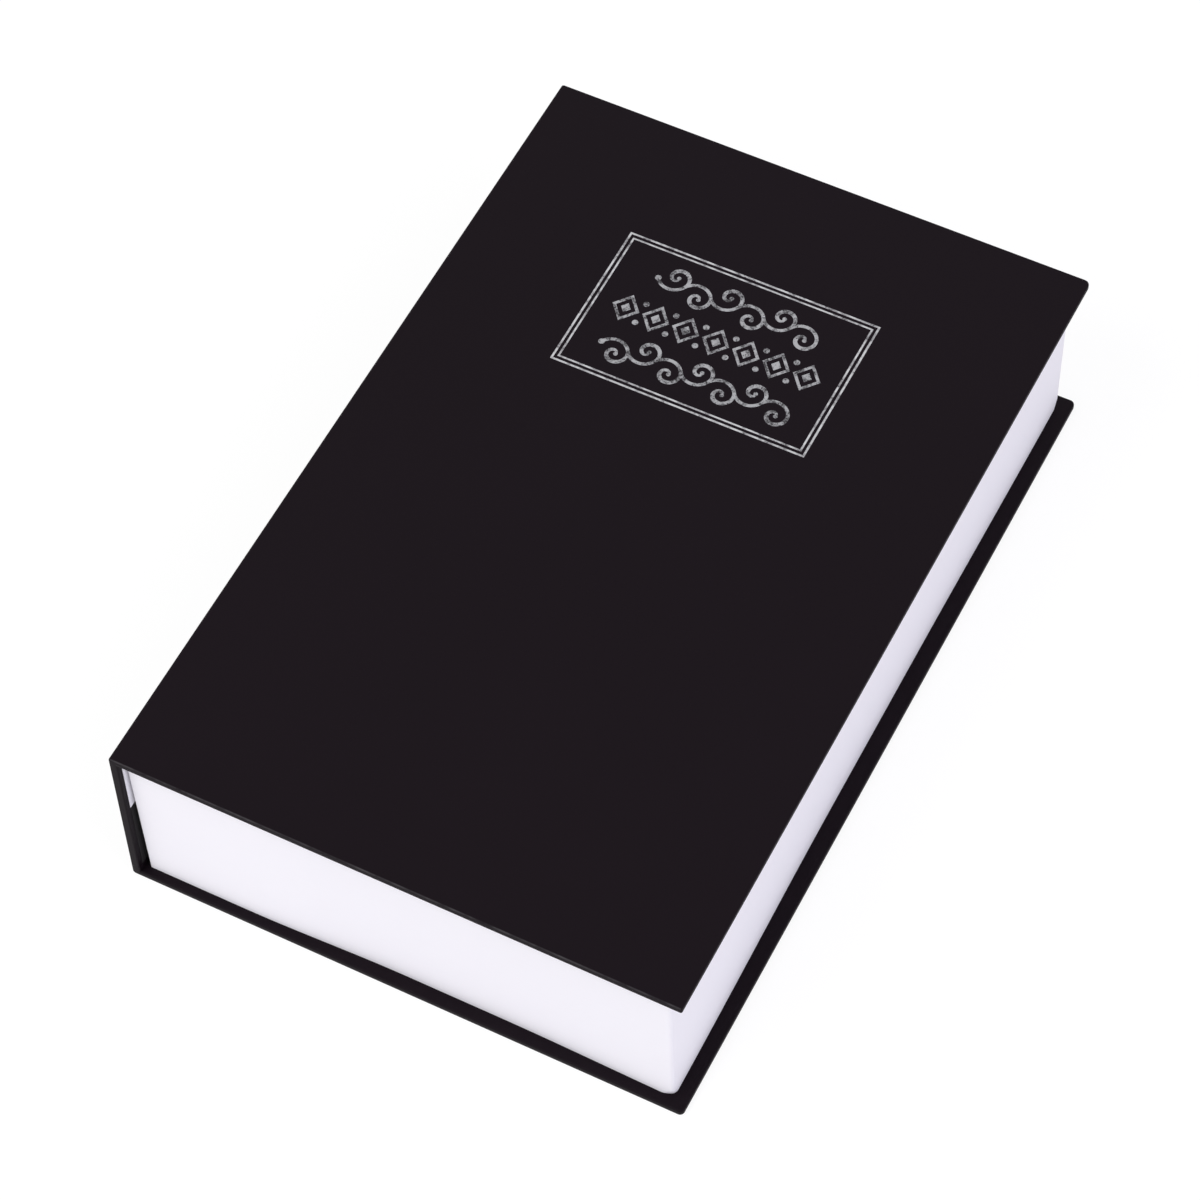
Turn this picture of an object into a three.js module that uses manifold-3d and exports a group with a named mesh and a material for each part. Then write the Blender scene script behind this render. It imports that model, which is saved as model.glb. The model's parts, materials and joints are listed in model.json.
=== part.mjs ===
// Book diversion safe: a black hardcover case round a white page block that hides a lockable steel tray.
// Millimetres. X runs from the spine to the fore-edge, Y from tail to head, and Z up.
// The closed book lies on its back cover, with the origin under the middle of it.
import * as THREE from "three";
import { mergeVertices } from "three/addons/utils/BufferGeometryUtils.js";
import Module from "manifold-3d";

const wasm = await Module();
wasm.setup();

// The whole book
const bookWidth = 155;
const bookLength = 240;
const bookHeight = 54;

// Case: boards, black wrap with turned-in edges, and endpapers
const coverBoardThickness = 1.5;
const spineBoardThickness = 1.9;
const wrapThickness = 0.25;
const turnInWidth = 15;
const coverCornerRadius = 1.5;
const coverEdgeRadius = 0.35;
const foldGap = 0.4;
const paperThickness = 0.1;
const paperMargin = 0.9;
const foreEdgePaperMargin = 3;
const spinePaperDrop = 21.1;

// Foil frame, stamped into the front cover
const foilFrameWidth = 72.4;
const foilFrameHeight = 46.5;
const foilFrameFromSpine = 39.9;
const foilFrameFromHead = 37.8;
const outerRuleWidth = 0.6;
const ruleSpacing = 0.8;
const innerRuleWidth = 0.55;
const stampDepth = 0.1;
const foilThickness = 0.06;

// Page block: one moulded shell with a rim round the mouth of the safe
const blockSpineGap = 0.5;
const blockForeEdgeSetback = 4.2;
const blockEndSetback = 2.5;
const blockWall = 2;
const blockCornerRadius = 2.5;
const blockEdgeRadius = 0.3;
const rimThickness = 1.2;
const rimWidth = 6;
const rimCornerRadius = 3;

// Tray and lid, folded from sheet steel
const sheetThickness = 0.8;
const bendRadius = 1;
const trayClearance = 0.3;
const trayCornerRadius = 3;
const ledgeWidth = 10;
const lidEdgeDepth = 3.5;
const lidClearance = 0.5;
const lidCornerRadius = 2.5;

// Lid hinge: two leaves with interleaved rolled knuckles on one pin
const hingeFromRim = 6.5;
const hingeFromLidEnd = 12;
const knuckleCount = 9;
const knuckleGap = 0.3;
const knuckleHeadroom = 0.3;
const curlEndAngle = -Math.PI / 9;
const leafThickness = 0.8;
const leafSideGap = 0.3;
const movingLeafWidth = 12;
const pinRadius = 0.8;
const pinClearance = 0.1;
const pinProud = 0.6;
const pinChamfer = 0.2;

// Rivets through the leaves
const rivetCount = 5;
const rivetFromLeafEnd = 9;
const rivetShankRadius = 1;
const rivetHoleClearance = 0.1;
const rivetHeadRadius = 1.6;
const rivetHeadHeight = 0.6;
const rivetTailRadius = 1.5;
const rivetTailHeight = 0.5;
const fixedRivetInset = 4.5;
const movingRivetInset = 6.5;

// Cam lock in the lid
const lockFromLidEdge = 16.8;
const bezelRadius = 9;
const bezelHeight = 1.5;
const bezelChamfer = 0.5;
const barrelRadius = 6;
const barrelLength = 10;
const barrelFlatInset = 0.8;
const barrelHoleClearance = 0.2;
const plugRadius = 4.2;
const plugHeadRadius = 5.2;
const plugHeadHeight = 1.2;
const plugClearance = 0.1;
const plugRecess = 0.2;
const plugChamfer = 0.3;
const plugProud = 0.2;
const tenonSide = 5.6;
const tenonShortfall = 0.2;
const keywayWidth = 1.6;
const keywayHeight = 6.6;
const keywayDepth = 9;
const keywayWardDepth = 0.5;
const washerRadius = 8.4;
const washerThickness = 0.5;
const nutAcrossFlats = 16;
const nutThickness = 3;
const nutClearance = 0.1;
const camThickness = 1.5;
const camWidth = 10;
const camReach = 16;
const camTipRadius = 2;
const camRiserPlace = 7.4;
const camRiserSlope = 1;
const camLedgeGap = 0.3;
const camHoleClearance = 0.1;
const screwShankRadius = 1.5;
const screwShankLength = 6;
const screwHoleClearance = 0.1;
const screwHeadRadius = 3.6;
const screwHeadHeight = 1.8;
const screwHeadChamfer = 0.4;
const screwSlotWidth = 0.9;
const screwSlotDepth = 0.8;

// Fineness of the round parts, how far a cut runs past its face, and the step that coordinates are rounded to
const cornerSegments = 6;
const curlSegments = 10;
const softEdgeSegments = 2;
const lockSegments = 32;
const smallSegments = 12;
const overrun = 1;
const roundingStep = 0.001;

// Faces of the case
const spineX = -bookWidth / 2;
const foreEdgeX = bookWidth / 2;
const headY = bookLength / 2;
const spineThickness = 2 * wrapThickness + spineBoardThickness + paperThickness;
const foldReach = coverCornerRadius + spineThickness + overrun;
const frontCase = coverLevels(bookHeight, -1);
const backCase = coverLevels(0, 1);
const frontUnderside = frontCase.inner - paperThickness;
const spineInsideX = spineX + spineThickness;
const spinePaperFoot = frontUnderside - spinePaperDrop;

// Faces of the page block
const blockSpineX = spineInsideX + blockSpineGap;
const blockForeEdgeX = foreEdgeX - blockForeEdgeSetback;
const blockHeadY = headY - blockEndSetback;
const rimUnderside = frontUnderside - rimThickness;

// Hinge axis, and the levels of the lid and the tray's ledge under it
const knuckleBore = pinRadius + pinClearance;
const knuckleRadius = knuckleBore + leafThickness;
const hingeX = blockSpineX + rimWidth + hingeFromRim;
const hingeZ = frontUnderside - knuckleHeadroom - knuckleRadius;
const leafTop = hingeZ - knuckleBore;
const lidTop = leafTop + sheetThickness;
const ledgeTop = lidTop - lidEdgeDepth;
const ledgeUnderside = ledgeTop - sheetThickness;
const sheetEdgeFromAxis = knuckleRadius + leafSideGap;

// Sides of the tray and the lid
const traySpineX = blockSpineX + blockWall + trayClearance;
const trayForeEdgeX = blockForeEdgeX - blockWall - trayClearance;
const trayHeadY = blockHeadY - blockWall - trayClearance;
const lidSpineX = hingeX + sheetEdgeFromAxis;
const lidForeEdgeX = blockForeEdgeX - rimWidth - lidClearance;
const lidHeadY = blockHeadY - rimWidth - lidClearance;

// Leaves of the hinge, and the rivets along them
const fixedLeafWidth = hingeX - traySpineX - sheetThickness - leafSideGap;
const hingeLength = 2 * (lidHeadY - hingeFromLidEnd);
const rivetPitch = (hingeLength - 2 * rivetFromLeafEnd) / (rivetCount - 1);

// Levels of the lock, counted from the top of the lid
const lockX = lidForeEdgeX - lockFromLidEdge;
const washerFoot = -sheetThickness - washerThickness;
const barrelFoot = -barrelLength;
const plugFoot = barrelFoot - plugProud;
const tenonFoot = plugFoot - camThickness + tenonShortfall;
const camFoot = plugFoot - camThickness;
const camTipTop = ledgeUnderside - camLedgeGap - lidTop;
const keywayTop = bezelHeight - plugRecess;

// Materials
const wrapPaper = new THREE.MeshStandardMaterial({ color: 0x1c181b, roughness: 0.62, metalness: 0 });
const greyBoard = new THREE.MeshStandardMaterial({ color: 0x8a8378, roughness: 0.95, metalness: 0 });
const whitePaper = new THREE.MeshStandardMaterial({ color: 0xf4f3f6, roughness: 0.85, metalness: 0 });
const blackPaper = new THREE.MeshStandardMaterial({ color: 0x242022, roughness: 0.9, metalness: 0 });
const silverFoil = new THREE.MeshStandardMaterial({ color: 0xc9c9cd, roughness: 0.35, metalness: 1 });
const whiteMoulding = new THREE.MeshStandardMaterial({ color: 0xf3f2f8, roughness: 0.6, metalness: 0 });
const blackSteel = new THREE.MeshStandardMaterial({ color: 0x17171a, roughness: 0.45, metalness: 0.3 });
const brightSteel = new THREE.MeshStandardMaterial({ color: 0xb9bcc0, roughness: 0.35, metalness: 1 });
const chromedMetal = new THREE.MeshStandardMaterial({ color: 0xd9dce0, roughness: 0.15, metalness: 1 });

// Levels of a cover from its outer face inwards; inwards is -1 for the front cover and 1 for the back one
function coverLevels(outer, inwards) {
  const boardOuter = outer + inwards * wrapThickness;
  const boardInner = boardOuter + inwards * coverBoardThickness;
  const inner = boardInner + inwards * wrapThickness;
  return { outer, boardOuter, boardInner, inner, inwards };
}

// Rounds coordinates, so that two faces that touch lie in one plane.
function rounded(values) {
  return Float32Array.from(values, (value) => Math.round(value / roundingStep) * roundingStep);
}

// Closed geometry as a solid that can be joined and cut
function solidOf(geometry) {
  const bare = geometry.clone();
  bare.deleteAttribute("normal");
  bare.deleteAttribute("uv");
  bare.getAttribute("position").array.set(rounded(bare.getAttribute("position").array));
  const merged = mergeVertices(bare, roundingStep / 2);
  const mesh = new wasm.Mesh({
    numProp: 3,
    vertProperties: merged.getAttribute("position").array,
    triVerts: new Uint32Array(merged.index.array),
  });
  return new wasm.Manifold(mesh);
}

// A named mesh from a solid, with flat faces
function piece(name, solid, material) {
  const made = solid.getMesh();
  const geometry = new THREE.BufferGeometry();
  geometry.setAttribute("position", new THREE.BufferAttribute(rounded(made.vertProperties), 3));
  geometry.setIndex(new THREE.BufferAttribute(made.triVerts, 1));
  const flat = geometry.toNonIndexed();
  flat.computeVertexNormals();
  const mesh = new THREE.Mesh(flat, material);
  mesh.name = name;
  return mesh;
}

// Settings that extrude an outline by a depth and round its two end edges
function extrusion(depth, edge) {
  return {
    depth: depth - 2 * edge,
    curveSegments: cornerSegments / 2,
    bevelEnabled: edge > 0,
    bevelThickness: edge,
    bevelSize: edge,
    bevelOffset: -edge,
    bevelSegments: softEdgeSegments,
  };
}

// An outline drawn in X and Y, extruded between two levels
function upright(outline, low, high, edge = 0) {
  const geometry = new THREE.ExtrudeGeometry(outline, extrusion(high - low, edge));
  geometry.translate(0, 0, low + edge);
  return solidOf(geometry);
}

// An outline drawn in X and Z, extruded along Y
function alongY(outline, low, high, edge = 0, segments = cornerSegments / 2) {
  const settings = extrusion(high - low, edge);
  settings.curveSegments = segments;
  const geometry = new THREE.ExtrudeGeometry(outline, settings);
  geometry.rotateX(Math.PI / 2);
  geometry.translate(0, high - edge, 0);
  return solidOf(geometry);
}

// A plain block between opposite corners
function block(xLow, xHigh, yLow, yHigh, zLow, zHigh) {
  return upright(rectangle(xLow, xHigh, yLow, yHigh), zLow, zHigh);
}

function rectangle(xLow, xHigh, yLow, yHigh) {
  return polygon([
    [xLow, yLow],
    [xHigh, yLow],
    [xHigh, yHigh],
    [xLow, yHigh],
  ]);
}

function polygon(points) {
  return new THREE.Shape(points.map(([x, y]) => new THREE.Vector2(x, y)));
}

// A rectangle with round corners, centred on the X axis
function roundedRectangle(xLow, xHigh, yHigh, radius) {
  const outline = new THREE.Shape();
  outline.absarc(xHigh - radius, radius - yHigh, radius, -Math.PI / 2, 0);
  outline.absarc(xHigh - radius, yHigh - radius, radius, 0, Math.PI / 2);
  outline.absarc(xLow + radius, yHigh - radius, radius, Math.PI / 2, Math.PI);
  outline.absarc(xLow + radius, radius - yHigh, radius, Math.PI, 1.5 * Math.PI);
  return outline;
}

// A closed profile of radii and heights turned round the Z axis
function turned(profile, segments) {
  const points = profile.map(([radius, height]) => new THREE.Vector2(radius, height));
  const geometry = new THREE.LatheGeometry(points, segments);
  geometry.rotateX(Math.PI / 2);
  return solidOf(geometry);
}

function rod(radius, low, high, segments) {
  return turned(
    [
      [0, low],
      [radius, low],
      [radius, high],
      [0, high],
    ],
    segments,
  );
}

// What a cover loses at the fold: everything on the spine's side of a mitre through the outer edge
function foldWedge({ outer, inwards }) {
  const mitreX = spineX + foldGap / 2;
  const reach = 2 * foldReach;
  const outline = polygon([
    [mitreX - reach, outer - inwards * reach],
    [mitreX + reach, outer + inwards * reach],
    [mitreX - reach, outer + inwards * reach],
  ]);
  return alongY(outline, -headY - overrun, headY + overrun);
}

// A layer of a cover, inset from its three free edges and mitred at the fold
function coverLayer(levels, inset, from, to, edge = 0) {
  const radius = Math.max(coverCornerRadius - inset, 0);
  const outline = roundedRectangle(spineX - foldReach, foreEdgeX - inset, headY - inset, radius);
  return upright(outline, Math.min(from, to), Math.max(from, to), edge).subtract(foldWedge(levels));
}

// The space between a cover's turn-ins, which is open towards the fold
function turnInWindow(from, to) {
  const low = Math.min(from, to);
  const high = Math.max(from, to);
  return block(spineX - foldReach, foreEdgeX - turnInWidth, turnInWidth - headY, headY - turnInWidth, low, high);
}

// Black wrap round a cover board: outer skin, edges and turn-ins in one folded sheet
function coverWrap(levels) {
  const { outer, boardOuter, boardInner, inner, inwards } = levels;
  const whole = coverLayer(levels, 0, outer, inner, coverEdgeRadius);
  const boardSpace = coverLayer(levels, wrapThickness, boardOuter, boardInner);
  const window = turnInWindow(boardInner - inwards * coverBoardThickness / 2, inner + inwards * overrun);
  return whole.subtract(boardSpace).subtract(window);
}

function coverBoard(levels) {
  return coverLayer(levels, wrapThickness, levels.boardOuter, levels.boardInner);
}

// One rule of the foil frame as a flat ring, given how far its outside lies inside the frame
function foilRule(inset, width, low, high) {
  const left = spineX + foilFrameFromSpine + inset;
  const right = spineX + foilFrameFromSpine + foilFrameWidth - inset;
  const top = headY - foilFrameFromHead - inset;
  const bottom = headY - foilFrameFromHead - foilFrameHeight + inset;
  const outside = block(left, right, bottom, top, low, high);
  const inside = block(
    left + width,
    right - width,
    bottom + width,
    top - width,
    low - overrun,
    high + overrun,
  );
  return outside.subtract(inside);
}

// Endpaper of the front cover: a sheet over the turn-ins, and its middle pasted to the board between them
function frontEndpaper() {
  const sheet = block(
    spineX - foldReach,
    foreEdgeX - foreEdgePaperMargin,
    paperMargin - headY,
    headY - paperMargin,
    frontUnderside,
    frontCase.inner,
  );
  const middle = turnInWindow(frontCase.inner, frontCase.boardInner);
  return sheet.add(middle).subtract(foldWedge(frontCase));
}

// Endpaper of the back cover, level with the turn-ins round it
function backEndpaper() {
  return turnInWindow(backCase.boardInner, backCase.inner).subtract(foldWedge(backCase));
}

// What the spine loses at a fold: everything on the cover's side of its own mitre
function spineWedge({ outer, inwards }) {
  const mitreZ = outer + (inwards * foldGap) / 2;
  const reach = 2 * foldReach;
  const outline = polygon([
    [spineX - reach, mitreZ - inwards * reach],
    [spineX + reach, mitreZ + inwards * reach],
    [spineX + reach, mitreZ - inwards * reach],
  ]);
  return alongY(outline, -headY - overrun, headY + overrun);
}

// A layer of the spine between two depths under its outer face, mitred at both folds
function spineLayer(outerDepth, innerDepth, yHigh, edge = 0) {
  const outline = rectangle(
    spineX + outerDepth,
    spineX + innerDepth,
    -foldReach,
    bookHeight + foldReach,
  );
  return alongY(outline, -yHigh, yHigh, edge)
    .subtract(spineWedge(backCase))
    .subtract(spineWedge(frontCase));
}

// Depths of the spine's layers, counted from its outer face
const spineBoardDepth = wrapThickness + spineBoardThickness;
const spineTurnInDepth = spineBoardDepth + wrapThickness;

function spineWrap() {
  const whole = spineLayer(0, spineTurnInDepth, headY, coverEdgeRadius);
  const boardSpace = spineLayer(wrapThickness, spineBoardDepth, headY - wrapThickness);
  const window = block(
    spineX + spineBoardDepth - spineBoardThickness / 2,
    spineX + spineTurnInDepth + overrun,
    turnInWidth - headY,
    headY - turnInWidth,
    0,
    bookHeight,
  );
  return whole.subtract(boardSpace).subtract(window);
}

// A paper inside the spine between two levels: a sheet over the turn-ins, pasted to the board between them
function spinePaper(low, high) {
  const sheet = block(
    spineX + spineTurnInDepth,
    spineInsideX,
    paperMargin - headY,
    headY - paperMargin,
    low,
    high,
  );
  const middle = block(
    spineX + spineBoardDepth,
    spineX + spineTurnInDepth,
    turnInWidth - headY,
    headY - turnInWidth,
    low,
    high,
  );
  return sheet.add(middle);
}

// Page block: a moulded shell, open below, with a rim round its mouth
function pageBlock() {
  const outside = roundedRectangle(blockSpineX, blockForeEdgeX, blockHeadY, blockCornerRadius);
  const inside = roundedRectangle(
    blockSpineX + blockWall,
    blockForeEdgeX - blockWall,
    blockHeadY - blockWall,
    Math.max(blockCornerRadius - blockWall, 0),
  );
  const mouth = roundedRectangle(
    blockSpineX + rimWidth,
    blockForeEdgeX - rimWidth,
    blockHeadY - rimWidth,
    rimCornerRadius,
  );
  return upright(outside, backCase.inner, frontUnderside, blockEdgeRadius)
    .subtract(upright(inside, backCase.inner - overrun, rimUnderside))
    .subtract(upright(mouth, rimUnderside - overrun, frontUnderside + overrun));
}

// Places of the rivets along a leaf
function rivetPlaces() {
  return Array.from({ length: rivetCount }, (_, i) => (i - (rivetCount - 1) / 2) * rivetPitch);
}

// Holes for one row of rivets, through the sheet and the leaf under it
function rivetHoles(x) {
  const low = leafTop - leafThickness - overrun;
  const radius = rivetShankRadius + rivetHoleClearance;
  const holes = rivetPlaces().map((y) =>
    rod(radius, low, lidTop + overrun, smallSegments).translate([x, y, 0]),
  );
  return holes.reduce((sum, hole) => sum.add(hole));
}

// Tray: a folded pan with a ledge for the lid on three sides and a taller wall that carries the hinge
function tray() {
  const floor = backCase.inner;
  const outside = roundedRectangle(traySpineX, trayForeEdgeX, trayHeadY, trayCornerRadius);
  const inside = roundedRectangle(
    traySpineX + sheetThickness,
    trayForeEdgeX - sheetThickness,
    trayHeadY - sheetThickness,
    trayCornerRadius - sheetThickness,
  );
  const mouth = roundedRectangle(
    traySpineX + sheetThickness,
    trayForeEdgeX - ledgeWidth,
    trayHeadY - ledgeWidth,
    trayCornerRadius - sheetThickness,
  );
  return upright(outside, floor, ledgeTop, bendRadius)
    .subtract(upright(inside, floor + sheetThickness, ledgeUnderside))
    .subtract(upright(mouth, ledgeUnderside - overrun, ledgeTop + overrun))
    .add(hingeWall())
    .subtract(rivetHoles(hingeX - fixedRivetInset));
}

// The tray's taller wall at the spine, bent inwards to a flange that lies level with the lid
function hingeWall() {
  const foot = ledgeUnderside - bendRadius;
  const wallInsideX = traySpineX + sheetThickness;
  const flangeX = hingeX - sheetEdgeFromAxis;
  const flangeUnderside = lidTop - sheetThickness;
  const outline = new THREE.Shape();
  outline.moveTo(wallInsideX, foot);
  outline.lineTo(wallInsideX, flangeUnderside);
  outline.lineTo(flangeX, flangeUnderside);
  outline.lineTo(flangeX, lidTop);
  outline.absarc(traySpineX + bendRadius, lidTop - bendRadius, bendRadius, Math.PI / 2, Math.PI);
  outline.lineTo(traySpineX, foot);
  return alongY(outline, trayCornerRadius - trayHeadY, trayHeadY - trayCornerRadius);
}

// Lid: a shallow pan, open towards the hinge, whose turned-down edges stand on the tray's ledge
function lid() {
  const skirtFoot = ledgeTop - bendRadius;
  const outside = roundedRectangle(lidSpineX, lidForeEdgeX, lidHeadY, lidCornerRadius);
  const inside = roundedRectangle(
    lidSpineX - lidCornerRadius - overrun,
    lidForeEdgeX - sheetThickness,
    lidHeadY - sheetThickness,
    lidCornerRadius - sheetThickness,
  );
  const below = block(
    lidSpineX - overrun,
    lidForeEdgeX + overrun,
    -lidHeadY - overrun,
    lidHeadY + overrun,
    skirtFoot - overrun,
    ledgeTop,
  );
  const lockHole = upright(
    doubleD(barrelHoleClearance),
    lidTop - sheetThickness - overrun,
    lidTop + overrun,
  ).translate([lockX, 0, 0]);
  return upright(outside, skirtFoot, lidTop, bendRadius)
    .subtract(upright(inside, skirtFoot - overrun, lidTop - sheetThickness))
    .subtract(below)
    .subtract(lockHole)
    .subtract(rivetHoles(hingeX + movingRivetInset));
}

// Outline of the lock's barrel, round with two flats, grown by a clearance
function doubleD(clearance) {
  const radius = barrelRadius + clearance;
  const flatAngle = Math.asin((barrelRadius - barrelFlatInset + clearance) / radius);
  const outline = new THREE.Shape();
  outline.absarc(0, 0, radius, -flatAngle, flatAngle);
  outline.absarc(0, 0, radius, Math.PI - flatAngle, Math.PI + flatAngle);
  return outline;
}

// Profile of a leaf in X and Z round the hinge axis: a flat strip that rolls up into an open curl
function leafProfile(width) {
  const outline = new THREE.Shape();
  outline.moveTo(width, -knuckleRadius);
  outline.absarc(0, 0, knuckleRadius, -Math.PI / 2, curlEndAngle, true);
  outline.absarc(0, 0, knuckleBore, curlEndAngle, -Math.PI / 2);
  outline.lineTo(width, -knuckleBore);
  return outline;
}

// Start and end of one knuckle along the hinge, less half the gap to its neighbours
function knuckleSpan(index) {
  const pitch = hingeLength / knuckleCount;
  const start = index * pitch - hingeLength / 2;
  return [start + knuckleGap / 2, start + pitch - knuckleGap / 2];
}

// A leaf that reaches to the fore-edge side of the axis, with every other knuckle from the first given
function hingeLeaf(width, firstKnuckle) {
  let leaf = block(
    sheetEdgeFromAxis,
    width,
    -hingeLength / 2,
    hingeLength / 2,
    -knuckleRadius,
    -knuckleBore,
  );
  for (let index = firstKnuckle; index < knuckleCount; index += 2) {
    const [start, end] = knuckleSpan(index);
    leaf = leaf.add(alongY(leafProfile(width), start, end, 0, curlSegments));
  }
  return leaf;
}

// The fixed leaf is the same form turned half round, so its knuckles are counted from the other end.
function fixedLeaf() {
  const firstKnuckle = (knuckleCount - 1) % 2;
  return hingeLeaf(fixedLeafWidth, firstKnuckle)
    .rotate([0, 0, 180])
    .translate([hingeX, 0, hingeZ])
    .subtract(rivetHoles(hingeX - fixedRivetInset));
}

function movingLeaf() {
  return hingeLeaf(movingLeafWidth, 1)
    .translate([hingeX, 0, hingeZ])
    .subtract(rivetHoles(hingeX + movingRivetInset));
}

function hingePin() {
  const end = hingeLength / 2 + pinProud;
  const profile = [
    [0, -end],
    [pinRadius - pinChamfer, -end],
    [pinRadius, pinChamfer - end],
    [pinRadius, end - pinChamfer],
    [pinRadius - pinChamfer, end],
    [0, end],
  ];
  const points = profile.map(([radius, height]) => new THREE.Vector2(radius, height));
  return solidOf(new THREE.LatheGeometry(points, smallSegments)).translate([hingeX, 0, hingeZ]);
}

// Rivet, with its height counted from where the sheet lies on the leaf: a domed head above and a set tail below
function rivet() {
  const domeSteps = 3;
  const dome = Array.from({ length: domeSteps }, (_, i) => {
    const angle = ((i + 1) / (domeSteps + 1)) * (Math.PI / 2);
    return [rivetHeadRadius * Math.cos(angle), sheetThickness + rivetHeadHeight * Math.sin(angle)];
  });
  const profile = [
    [0, -leafThickness - rivetTailHeight],
    [rivetShankRadius, -leafThickness - rivetTailHeight],
    [rivetTailRadius, -leafThickness - rivetTailHeight / 2],
    [rivetTailRadius, -leafThickness],
    [rivetShankRadius, -leafThickness],
    [rivetShankRadius, sheetThickness],
    [rivetHeadRadius, sheetThickness],
    ...dome,
    [0, sheetThickness + rivetHeadHeight],
  ];
  return turned(profile, smallSegments);
}

// Adds one row of rivets to a group.
function addRivets(group, name, x) {
  rivetPlaces().forEach((y, i) => {
    const mesh = piece(`${name}_${i + 1}`, rivet(), brightSteel);
    mesh.position.set(x, y, leafTop);
    group.add(mesh);
  });
}

// Lock body: a round bezel on the lid, and a barrel with two flats that holds the plug
function lockBody() {
  const bore = plugRadius + plugClearance;
  const counterbore = plugHeadRadius + plugClearance;
  const shoulder = bezelHeight - plugRecess - plugHeadHeight - plugClearance;
  const profile = [
    [bore, barrelFoot],
    [barrelRadius, barrelFoot],
    [barrelRadius, 0],
    [bezelRadius, 0],
    [bezelRadius, bezelHeight - bezelChamfer],
    [bezelRadius - bezelChamfer, bezelHeight],
    [counterbore, bezelHeight],
    [counterbore, shoulder],
    [bore, shoulder],
    [bore, barrelFoot],
  ];
  const flatY = barrelRadius - barrelFlatInset;
  const flatCut = block(
    -barrelRadius,
    barrelRadius,
    flatY,
    barrelRadius + overrun,
    barrelFoot - overrun,
    0,
  );
  return turned(profile, lockSegments)
    .subtract(flatCut)
    .subtract(flatCut.rotate([0, 0, 180]));
}

// Lock plug: the round core with its keyway, a square tenon for the cam and a hole for the screw
function lockPlug() {
  const profile = [
    [0, plugFoot],
    [plugRadius, plugFoot],
    [plugRadius, keywayTop - plugHeadHeight],
    [plugHeadRadius, keywayTop - plugHeadHeight],
    [plugHeadRadius, keywayTop - plugChamfer],
    [plugHeadRadius - plugChamfer, keywayTop],
    [0, keywayTop],
  ];
  const half = tenonSide / 2;
  const tenon = block(-half, half, -half, half, tenonFoot, plugFoot + plugProud);
  const screwHole = rod(
    screwShankRadius + screwHoleClearance,
    tenonFoot - overrun,
    camFoot + screwShankLength + screwHoleClearance,
    smallSegments,
  );
  return turned(profile, lockSegments).add(tenon).subtract(keyway()).subtract(screwHole);
}

// Keyway: an upright slot with a ward on each side
function keyway() {
  const halfWidth = keywayWidth / 2;
  const halfHeight = keywayHeight / 2;
  const wardX = halfWidth - keywayWardDepth;
  const wardY = halfHeight / 3;
  const outline = polygon([
    [-halfWidth, -halfHeight],
    [halfWidth, -halfHeight],
    [halfWidth, -wardY],
    [wardX, -wardY],
    [wardX, 0],
    [halfWidth, 0],
    [halfWidth, halfHeight],
    [-halfWidth, halfHeight],
    [-halfWidth, wardY],
    [-wardX, wardY],
    [-wardX, 0],
    [-halfWidth, 0],
  ]);
  return upright(outline, keywayTop - keywayDepth, keywayTop + overrun);
}

function lockWasher() {
  const bore = barrelRadius + nutClearance;
  const profile = [
    [bore, washerFoot],
    [washerRadius, washerFoot],
    [washerRadius, -sheetThickness],
    [bore, -sheetThickness],
    [bore, washerFoot],
  ];
  return turned(profile, lockSegments);
}

function lockNut() {
  const cornerRadius = nutAcrossFlats / 2 / Math.cos(Math.PI / 6);
  const foot = washerFoot - nutThickness;
  const bore = rod(barrelRadius + nutClearance, foot - overrun, washerFoot + overrun, lockSegments);
  return rod(cornerRadius, foot, washerFoot, 6).subtract(bore);
}

// Cam: a strip cranked up from the foot of the plug to a tip that turns in under the tray's ledge
function lockCam() {
  const riserOuter = camRiserPlace + camThickness;
  const tipFoot = camTipTop - camThickness;
  const side = new THREE.Shape();
  side.moveTo(-camWidth, camFoot);
  side.lineTo(riserOuter, camFoot);
  side.lineTo(riserOuter + camRiserSlope, tipFoot);
  side.lineTo(camReach, tipFoot);
  side.lineTo(camReach, camTipTop);
  side.lineTo(camRiserPlace + camRiserSlope, camTipTop);
  side.lineTo(camRiserPlace, plugFoot);
  side.lineTo(-camWidth, plugFoot);
  const strip = alongY(side, -camWidth / 2, camWidth / 2).rotate([0, 0, 90]);
  const half = tenonSide / 2 + camHoleClearance;
  const hole = block(-half, half, -half, half, camFoot - overrun, plugFoot + overrun);
  return strip.intersect(upright(camOutline(), camFoot, camTipTop)).subtract(hole);
}

// The cam seen from above: round at the plug, with small round corners at its tip
function camOutline() {
  const halfWidth = camWidth / 2;
  const tipY = camReach - camTipRadius;
  const outline = new THREE.Shape();
  outline.absarc(0, 0, halfWidth, Math.PI, 2 * Math.PI);
  outline.absarc(halfWidth - camTipRadius, tipY, camTipRadius, 0, Math.PI / 2);
  outline.absarc(camTipRadius - halfWidth, tipY, camTipRadius, Math.PI / 2, Math.PI);
  return outline;
}

function camScrew() {
  const headFoot = camFoot - screwHeadHeight;
  const profile = [
    [0, headFoot],
    [screwHeadRadius - screwHeadChamfer, headFoot],
    [screwHeadRadius, headFoot + screwHeadChamfer],
    [screwHeadRadius, camFoot],
    [screwShankRadius, camFoot],
    [screwShankRadius, camFoot + screwShankLength],
    [0, camFoot + screwShankLength],
  ];
  const slot = block(
    -screwHeadRadius - overrun,
    screwHeadRadius + overrun,
    -screwSlotWidth / 2,
    screwSlotWidth / 2,
    headFoot - overrun,
    headFoot + screwSlotDepth,
  );
  return turned(profile, smallSegments).subtract(slot);
}

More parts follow.
